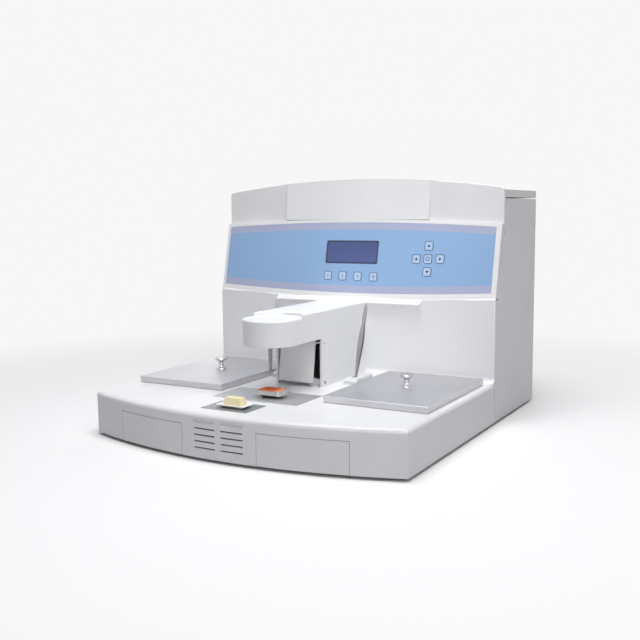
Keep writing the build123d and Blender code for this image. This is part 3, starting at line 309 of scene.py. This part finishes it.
def markValue(tree, key, a, b):
    spec = keySpec
    if key in spec["arrows"]:
        toX, toV = spec["arrows"][key]
        along = calc(tree, "ADD", calc(tree, "MULTIPLY", a, toX), calc(tree, "MULTIPLY", b, toV))
        across = calc(tree, "ADD", calc(tree, "MULTIPLY", a, toV), calc(tree, "MULTIPLY", b, toX))
        reach = calc(tree, "MULTIPLY", calc(tree, "SUBTRACT", spec["arrowTip"], along), spec["arrowSlope"])
        inside = calc(tree, "LESS_THAN", calc(tree, "ABSOLUTE", across), reach)
        return calc(tree, "MULTIPLY", inside, calc(tree, "GREATER_THAN", along, spec["arrowBase"]))
    out = calc(tree, "SQRT", calc(tree, "ADD", calc(tree, "MULTIPLY", a, a), calc(tree, "MULTIPLY", b, b)))
    away = calc(tree, "ABSOLUTE", calc(tree, "SUBTRACT", out, spec["ringRadius"]))
    return calc(tree, "LESS_THAN", away, spec["ringHalf"])


def keyMaterial(key):
    spec = keySpec
    material, tree, shader = startMaterial(key + "Print", spec["fill"], 0.34)
    x, v, point = panelCoordinates(tree)
    centreX, centreV = keyPanelPlace(key)
    reach = roundedReach(tree, x, v, (centreX, centreV), spec["half"], spec["round"])
    rim = calc(tree, "GREATER_THAN", reach, spec["round"] - spec["line"])
    cloud = noiseValue(tree, point, 90.0, 2.0)
    pale = tuple(min(1, c * 1.08) for c in spec["fill"])
    fill = mixColor(tree, rangeValue(tree, cloud, 0.35, 0.65, 0, 1), spec["fill"], pale)
    color = mixColor(tree, rim, fill, spec["ink"])
    if "menu" not in key:
        mark = markValue(tree, key, calc(tree, "SUBTRACT", x, centreX), calc(tree, "SUBTRACT", v, centreV))
        color = mixColor(tree, mark, color, spec["mark"])
    tree.links.new(color, shader.inputs["Base Color"])
    return material


for key in keySpec["places"]:
    nodes[key].data.materials.clear()
    nodes[key].data.materials.append(keyMaterial(key))

displaySpec = {
    "left": -0.0545, "right": 0.0565, "foot": 0.2724, "top": 0.3158, "rim": 0.0034, "round": 0.004,
    "rimColor": (0.038, 0.055, 0.120), "blue": (0.058, 0.080, 0.235), "glow": (0.078, 0.105, 0.270),
}


def displayMaterial():
    spec = displaySpec
    material, tree, shader = startMaterial("displayBlue", spec["blue"], 0.12)
    x, v, point = panelCoordinates(tree)
    foot, top = panelHeight(spec["foot"]), panelHeight(spec["top"])
    middleX, middleV = (spec["left"] + spec["right"]) / 2, (foot + top) / 2
    halfX, halfV = (spec["right"] - spec["left"]) / 2 - spec["rim"], (top - foot) / 2 - spec["rim"]
    reach = roundedReach(tree, x, v, (middleX, middleV), (halfX, halfV), spec["round"])
    rim = calc(tree, "GREATER_THAN", reach, spec["round"])
    glow = rangeValue(tree, v, foot, top, 1, 0)
    blue = mixColor(tree, glow, spec["blue"], spec["glow"])
    tree.links.new(mixColor(tree, rim, blue, spec["rimColor"]), shader.inputs["Base Color"])
    addBump(tree, shader, noiseValue(tree, point, 2500.0, 1.0), 0.000004)
    return material


displayBlue = displayMaterial()
print("overlay, keys and display printed")


# Finish of each CAD node that shows as it is
finishOf = {
    "deck_shell": whitePaint, "cabinet_side_left": whitePaint, "cabinet_side_right": whitePaint,
    "console_fascia": whitePaint, "rear_panel": whitePaint, "top_lid": whitePaint,
    "arm_housing": whitePaint, "arm_top_cover": whitePaint, "drawer_left": whitePaint,
    "drawer_right": whitePaint, "dispense_paddle": paddleLitPaint, "base_pan": zincSteel,
    "tank_deck": zincSteel, "drawer_runners": zincSteel, "lid_hinges": zincSteel,
    "power_supply": zincSteel, "feet": footRubber, "vent_filter": blackPlastic,
    "column_grille": blackPlastic, "fan_frame": blackPlastic, "fan_rotor": blackPlastic,
    "power_inlet": blackPlastic, "power_rocker": blackPlastic, "dispense_switch": blackPlastic,
    "solenoid_valve": blackPlastic, "control_overlay": overlayFilm, "display_screen": displayBlue,
    "control_board": circuitGreen, "main_board": circuitGreen, "paraffin_tank": traySteel,
    "well_tray_left": traySteel, "well_tray_right": traySteel, "well_lid_left": lidSteel,
    "well_lid_right": lidSteel, "base_mould": traySteel, "forceps": forcepsSteel,
    "wax_pipes": traySteel, "heater_mats": heaterSilicone, "lid_knob_left": chromeMetal,
    "lid_knob_right": chromeMetal, "nozzle": nozzleShadedSteel, "paddle_pin": chromeMetal,
    "screws": screwSteel, "hot_plate": hotPlateMetal, "cold_plate": coldPlateMetal,
    "heat_sink": bareAluminium, "peltier_module": whiteCeramic, "forceps_holders": palePlastic,
    "orange_cassette": orangeAcetal, "white_cassette": whiteAcetal, "wax_block": waxCream,
}
for nodeName, material in finishOf.items():
    nodes[nodeName].data.materials.clear()
    nodes[nodeName].data.materials.append(material)
print("CAD nodes painted")


# Smooth copies of the nodes whose curved faces would show their facets: the node, its body, the angle
# in degrees above which an edge stays sharp, and the round on the edges
skinRule = {"weld": 0.000005, "flat": math.radians(0.1), "roundAbove": math.radians(40), "facing": 0.9}
skinSpec = {
    "deckShellSkin": ("deck_shell", "housing", 35, 0),
    "fasciaSkin": ("console_fascia", "housing", 28, 0),
    "armSkin": ("arm_housing", "housing", 35, 0),
    "armCoverSkin": ("arm_top_cover", "housing", 35, 0),
    "drawerSkinRight": ("drawer_right", "right_drawer", 30, 0),
    "drawerSkinLeft": ("drawer_left", "left_drawer", 30, 0),
    "topLidSkin": ("top_lid", "cabinet_lid", 35, 0),
    "knobRight": ("lid_knob_right", "right_well_lid", 50, 0),
    "knobLeft": ("lid_knob_left", "left_well_lid", 50, 0),
    "nozzleSkin": ("nozzle", "housing", 40, 0),
    "paddleSkin": ("dispense_paddle", "paddle", 30, 0.0004),
    "forcepsSkin": ("forceps", "tweezers", 40, 0),
    "lidSkinRight": ("well_lid_right", "right_well_lid", 30, 0.0009),
    "lidSkinLeft": ("well_lid_left", "left_well_lid", 30, 0.0009),
    "hotPlateSkin": ("hot_plate", "housing", 30, 0.0004),
    "coldPlateSkin": ("cold_plate", "housing", 30, 0.0004),
    "holderSkins": ("forceps_holders", "housing", 30, 0.0005),
    "mouldSkin": ("base_mould", "steel_mould", 35, 0),
    "orangeSkin": ("orange_cassette", "cassette", 30, 0.00025),
    "trayWhiteSkin": ("white_cassette", "wax_cast", 35, 0),
    "waxSkin": ("wax_block", "wax_cast", 50, 0),
    "tankSkin": ("paraffin_tank", "housing", 35, 0),
    "inletSkin": ("power_inlet", "housing", 35, 0),
}


def pickOnly(piece):
    bpy.ops.object.select_all(action="DESELECT")
    piece.select_set(True)
    bpy.context.view_layer.objects.active = piece


def applyModifier(piece, kind, **settings):
    pickOnly(piece)
    modifier = piece.modifiers.new(kind.lower(), kind)
    for name, value in settings.items():
        setattr(modifier, name, value)
    bpy.ops.object.modifier_apply(modifier=modifier.name)


def roundEdges(piece, width):
    applyModifier(piece, "BEVEL", width=width, segments=2, limit_method="ANGLE",
                  angle_limit=skinRule["roundAbove"])


def selectFaces(piece, wanted):
    pickOnly(piece)
    bpy.ops.object.mode_set(mode="EDIT")
    bpy.ops.mesh.select_mode(type="FACE")
    bpy.ops.mesh.select_all(action="DESELECT")
    bpy.ops.object.mode_set(mode="OBJECT")
    for face in piece.data.polygons:
        face.select = wanted(face)
    bpy.ops.object.mode_set(mode="EDIT")


def smoothCopy(pieceName, nodeName, body, angle, edgeRound):
    piece = bpy.data.objects.new(pieceName, nodes[nodeName].data.copy())
    bpy.context.scene.collection.objects.link(piece)
    pickOnly(piece)
    bpy.ops.object.mode_set(mode="EDIT")
    bpy.ops.mesh.select_all(action="SELECT")
    bpy.ops.mesh.remove_doubles(threshold=skinRule["weld"])
    bpy.ops.mesh.dissolve_limited(angle_limit=skinRule["flat"])  # one face for each flat wall
    bpy.ops.object.mode_set(mode="OBJECT")
    if edgeRound:
        roundEdges(piece, edgeRound)
    bpy.ops.object.shade_smooth_by_angle(angle=math.radians(angle))
    applyModifier(piece, "WEIGHTED_NORMAL", keep_sharp=True)
    piece.data.materials.clear()
    piece.data.materials.append(finishOf[nodeName])
    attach(piece, body)
    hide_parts(nodeName)


for name, spec in skinSpec.items():
    smoothCopy(name, *spec)
print("smooth skins:", len(skinSpec))


# Plain numerals printed on the four menu keys
numeralSpec = {"size": 0.0085, "thick": 0.00003, "proud": 0.00016, "shift": -0.0031}
inkBlue = mouldedMaterial("inkBlue", (0.03, 0.045, 0.10), 0.4)


def addNumeral(text, key):
    x, v = keyPanelPlace(key)
    tilt, middle = panelSpec["tilt"], Vector(panelSpec["middle"])
    up, out = Vector((0, math.sin(tilt), math.cos(tilt))), Vector((0, -math.cos(tilt), math.sin(tilt)))
    bpy.ops.object.select_all(action="DESELECT")
    bpy.ops.object.text_add()
    numeral = bpy.context.active_object
    numeral.name = "numeral" + text
    numeral.data.body = text
    numeral.data.size = numeralSpec["size"]
    numeral.data.extrude = numeralSpec["thick"]
    numeral.data.align_x = "CENTER"
    bpy.ops.object.convert(target="MESH")
    place = middle + Vector((x, 0, 0)) + up * (v + numeralSpec["shift"]) + out * numeralSpec["proud"]
    basis = Matrix(((1, 0, 0), tuple(up), tuple(out))).transposed()
    numeral.matrix_world = Matrix.Translation(place) @ basis.to_4x4()
    bpy.ops.object.transform_apply(location=True, rotation=True, scale=True)
    numeral.data.materials.append(inkBlue)
    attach(numeral, key + "_cap")


for index in range(1, 5):
    addNumeral(str(index), "key_menu_" + str(index))
print("numerals printed")


# Cheese head screws with a round socket, each at its place in the CAD node
screwSpec = {
    "sides": 20, "socket": 0.5, "sink": 0.0008, "round": 0.0003, "smooth": math.radians(30),
    "reach": 0.008, "backWall": 0.2, "columnMiddle": -0.008,
}


def pointsByScrew(points):
    groups = []
    for point in points:
        for group in groups:
            if (point - group[0]).length < screwSpec["reach"]:
                group.append(point)
                break
        else:
            groups.append([point])
    return groups


def addScrew(index, group):
    low = Vector([min(p[k] for p in group) for k in range(3)])
    high = Vector([max(p[k] for p in group) for k in range(3)])
    size, centre = high - low, (low + high) / 2
    axis = min(range(3), key=lambda k: size[k])
    radius, depth = max(size) / 2, size[axis]
    onBack = axis == 1 and centre[1] > screwSpec["backWall"]
    onRight = axis == 0 and centre[0] > screwSpec["columnMiddle"]
    outward = 1 if onBack or onRight else -1
    bpy.ops.object.select_all(action="DESELECT")
    bpy.ops.mesh.primitive_cylinder_add(vertices=screwSpec["sides"], radius=radius, depth=depth)
    screw = bpy.context.active_object
    screw.name = "screwHead" + str(index)
    selectFaces(screw, lambda face: face.normal.z > skinRule["facing"])
    bpy.ops.mesh.inset(thickness=radius * screwSpec["socket"])
    bpy.ops.mesh.extrude_region_move(TRANSFORM_OT_translate={"value": (0, 0, -screwSpec["sink"])})
    bpy.ops.object.mode_set(mode="OBJECT")
    roundEdges(screw, screwSpec["round"])
    aim = Vector([outward if k == axis else 0 for k in range(3)])
    screw.matrix_world = Matrix.Translation(centre) @ aim.to_track_quat("Z", "Y").to_matrix().to_4x4()
    bpy.ops.object.transform_apply(location=True, rotation=True, scale=True)
    bpy.ops.object.shade_smooth_by_angle(angle=screwSpec["smooth"])
    screw.data.materials.append(screwSteel)
    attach(screw, "housing")
    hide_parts("screws")


screwGroups = pointsByScrew([vertex.co.copy() for vertex in nodes["screws"].data.vertices])
for index, group in enumerate(screwGroups):
    addScrew(index + 1, group)
print("screws:", len(screwGroups))


# Pointed white tab under the lid's groove, on the right side of the cabinet
tabSpec = {
    "x": 0.290, "y": 0.150, "top": 0.3953, "foot": 0.3868,
    "wide": 0.0050, "point": 0.3, "thick": 0.0008, "round": 0.0003,
}


def addSideTab():
    spec = tabSpec
    height = spec["top"] - spec["foot"]
    bpy.ops.object.select_all(action="DESELECT")
    bpy.ops.mesh.primitive_cube_add(size=1, location=(spec["x"], spec["y"], spec["foot"] + height / 2),
                                    scale=(spec["thick"], spec["wide"], height))
    tab = bpy.context.active_object
    tab.name = "lidGuideTab"
    bpy.ops.object.transform_apply(location=True, rotation=True, scale=True)
    selectFaces(tab, lambda face: face.normal.z < -skinRule["facing"])
    bpy.ops.transform.resize(value=(1, spec["point"], 1))
    bpy.ops.object.mode_set(mode="OBJECT")
    applyModifier(tab, "BEVEL", width=spec["round"], segments=2)
    tab.data.materials.append(whitePaint)
    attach(tab, "housing")


addSideTab()
print("side tab made")


# Floor and studio light
floorSpec = {
    "size": 60.0, "seen": (0.93, 0.93, 0.94), "bounce": (0.52, 0.52, 0.53),
    "fadeFrom": 0.42, "fadeTo": 1.3, "farGlow": (0.93, 0.93, 0.94),
}
bpy.ops.mesh.primitive_plane_add(size=floorSpec["size"], location=(0, 0, 0))
floor = bpy.context.active_object
floor.name = "floor"
floorMaterial, floorTree, floorShader = startMaterial("floorPale", floorSpec["seen"], 0.9)
floorPath = floorTree.nodes.new("ShaderNodeLightPath")
seenDirect = calc(floorTree, "MAXIMUM", floorPath.outputs["Is Camera Ray"], calc(
    floorTree, "MAXIMUM", floorPath.outputs["Is Glossy Ray"], floorPath.outputs["Is Transmission Ray"]))
floorTree.links.new(mixColor(floorTree, seenDirect, floorSpec["bounce"], floorSpec["seen"]),
                    floorShader.inputs["Base Color"])
farGlow = floorTree.nodes.new("ShaderNodeEmission")
farGlow.inputs["Color"].default_value = (*floorSpec["farGlow"], 1)
fadeMix = floorTree.nodes.new("ShaderNodeMixShader")
distance = floorTree.nodes.new("ShaderNodeVectorMath")
distance.operation = "LENGTH"
floorTree.links.new(objectPoint(floorTree), distance.inputs[0])
fade = rangeValue(floorTree, distance.outputs["Value"], floorSpec["fadeFrom"], floorSpec["fadeTo"], 0, 1)
floorTree.links.new(calc(floorTree, "MULTIPLY", fade, seenDirect), fadeMix.inputs["Fac"])
floorTree.links.new(floorShader.outputs["BSDF"], fadeMix.inputs[1])
floorTree.links.new(farGlow.outputs["Emission"], fadeMix.inputs[2])
floorTree.links.new(fadeMix.outputs["Shader"], floorTree.nodes["Material Output"].inputs["Surface"])
floor.data.materials.append(floorMaterial)

lightSpec = {
    "zenithSoft": {"place": (0.1, -0.35, 2.2), "aim": (0.1, -0.1, 0.1), "size": 1.4, "power": 32},
    "rightSoft": {"place": (1.3, -1.5, 1.2), "aim": (0, 0, 0.2), "size": 1.4, "power": 12},
    "deckSoft": {"place": (0.26, -0.30, 1.05), "aim": (0.05, 0, 0.15), "size": 0.5, "power": 2.2},
    "backSoft": {"place": (-0.7, 2.1, 1.3), "aim": (0, 0.2, 0.2), "size": 1.8, "power": 14},
    "armSoft": {"place": (0.28, -0.22, 0.62), "aim": (0.03, -0.02, 0.15), "size": 0.2, "power": 0.14,
                "spread": 70},
}
for lightName, spec in lightSpec.items():
    lightData = bpy.data.lights.new(lightName, "AREA")
    lightData.size = spec["size"]
    lightData.energy = spec["power"]
    lightData.spread = math.radians(spec.get("spread", 180))
    light = bpy.data.objects.new(lightName, lightData)
    bpy.context.scene.collection.objects.link(light)
    light.visible_camera = False
    light.location = spec["place"]
    aim = Vector(spec["aim"]) - Vector(spec["place"])
    light.rotation_euler = aim.to_track_quat("-Z", "Y").to_euler()

worldSpec = {"ambient": (0.95, 0.97, 1.0), "strength": 0.12, "seen": (0.93, 0.93, 0.94)}
world = bpy.data.worlds.new("studioWorld")
bpy.context.scene.world = world
world.use_nodes = True
worldTree = world.node_tree
background = worldTree.nodes["Background"]
background.inputs["Color"].default_value = (*worldSpec["ambient"], 1)
background.inputs["Strength"].default_value = worldSpec["strength"]
whiteSky = worldTree.nodes.new("ShaderNodeBackground")
whiteSky.inputs["Color"].default_value = (*worldSpec["seen"], 1)
mixSky = worldTree.nodes.new("ShaderNodeMixShader")
lightPath = worldTree.nodes.new("ShaderNodeLightPath")
seenSky = calc(worldTree, "MAXIMUM", lightPath.outputs["Is Camera Ray"], calc(
    worldTree, "MAXIMUM", lightPath.outputs["Is Glossy Ray"], lightPath.outputs["Is Transmission Ray"]))
worldTree.links.new(seenSky, mixSky.inputs["Fac"])
worldTree.links.new(background.outputs["Background"], mixSky.inputs[1])
worldTree.links.new(whiteSky.outputs["Background"], mixSky.inputs[2])
worldTree.links.new(mixSky.outputs["Shader"], worldTree.nodes["World Output"].inputs["Surface"])
print("studio lit")
